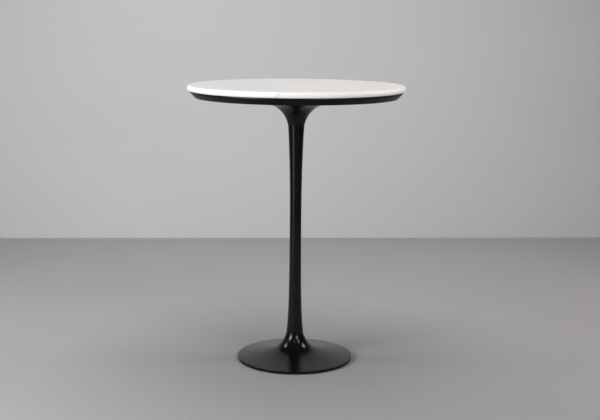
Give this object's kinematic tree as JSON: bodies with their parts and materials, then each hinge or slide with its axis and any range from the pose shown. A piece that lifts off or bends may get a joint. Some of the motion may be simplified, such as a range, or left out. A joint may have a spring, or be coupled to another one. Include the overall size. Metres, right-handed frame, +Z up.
{
  "type": "counter height table",
  "caption": "Round counter height table: bullnosed marble slab on a black bevelled board, carried by a waisted tubular column and a trumpet-shaped cast foot with levelling glides.",
  "frame": {"origin": "on the floor under the middle of the table", "axes": "+Z up along the column; the table is round, and +X, +Y are the directions between its glides"},
  "size_m": [0.7064, 0.7064, 0.914],
  "materials": {
    "marble": "polished white marble with faint grey veins",
    "adhesive": "cured adhesive",
    "black_board": "fibreboard in satin black lacquer",
    "black_head": "cast aluminium in satin black enamel",
    "black_tube": "steel tube in satin black enamel",
    "black_iron": "cast iron in satin black enamel",
    "brass": "turned brass",
    "steel": "zinc plated steel",
    "nylon": "moulded black nylon"
  },
  "bodies": {
    "table": {"marble_top": "marble", "adhesive_bed": "adhesive", "backer_board": "black_board", "threaded_inserts": "brass", "head_flange": "black_head", "flange_screws": "steel", "flange_washers": "steel", "column": "black_tube", "base_casting": "black_iron", "tie_rod": "steel", "rod_washer_top": "steel", "rod_nut_top": "steel", "rod_washer_base": "steel", "rod_lock_washer": "steel", "rod_nut_base": "steel", "upper_locating_pin": "steel", "lower_locating_pin": "steel"},
    "foot_1": {"glide_foot_1": "nylon"},
    "stud_1": {"glide_stud_1": "steel"},
    "foot_2": {"glide_foot_2": "nylon"},
    "stud_2": {"glide_stud_2": "steel"},
    "foot_3": {"glide_foot_3": "nylon"},
    "stud_3": {"glide_stud_3": "steel"},
    "foot_4": {"glide_foot_4": "nylon"},
    "stud_4": {"glide_stud_4": "steel"}
  },
  "joints": [
    {"name": "foot_slide_1", "type": "slide", "parent": "table", "child": "foot_1", "axis": [0, 0, -1], "range_m": [0, 0.004]},
    {"name": "stud_turn_1", "type": "hinge", "parent": "foot_1", "child": "stud_1", "pos_m": [0.10607, 0.10607, 0.008], "axis": [0, 0, -1], "range_deg": [0, 1152]},
    {"name": "foot_slide_2", "type": "slide", "parent": "table", "child": "foot_2", "axis": [0, 0, -1], "range_m": [0, 0.004]},
    {"name": "stud_turn_2", "type": "hinge", "parent": "foot_2", "child": "stud_2", "pos_m": [-0.10607, 0.10607, 0.008], "axis": [0, 0, -1], "range_deg": [0, 1152]},
    {"name": "foot_slide_3", "type": "slide", "parent": "table", "child": "foot_3", "axis": [0, 0, -1], "range_m": [0, 0.004]},
    {"name": "stud_turn_3", "type": "hinge", "parent": "foot_3", "child": "stud_3", "pos_m": [-0.10607, -0.10607, 0.008], "axis": [0, 0, -1], "range_deg": [0, 1152]},
    {"name": "foot_slide_4", "type": "slide", "parent": "table", "child": "foot_4", "axis": [0, 0, -1], "range_m": [0, 0.004]},
    {"name": "stud_turn_4", "type": "hinge", "parent": "foot_4", "child": "stud_4", "pos_m": [0.10607, -0.10607, 0.008], "axis": [0, 0, -1], "range_deg": [0, 1152]}
  ],
  "couplings": [
    {"joint": "stud_turn_1", "follows": "foot_slide_1", "rad_per_m": 5026.5},
    {"joint": "stud_turn_2", "follows": "foot_slide_2", "rad_per_m": 5026.5},
    {"joint": "stud_turn_3", "follows": "foot_slide_3", "rad_per_m": 5026.5},
    {"joint": "stud_turn_4", "follows": "foot_slide_4", "rad_per_m": 5026.5}
  ]
}
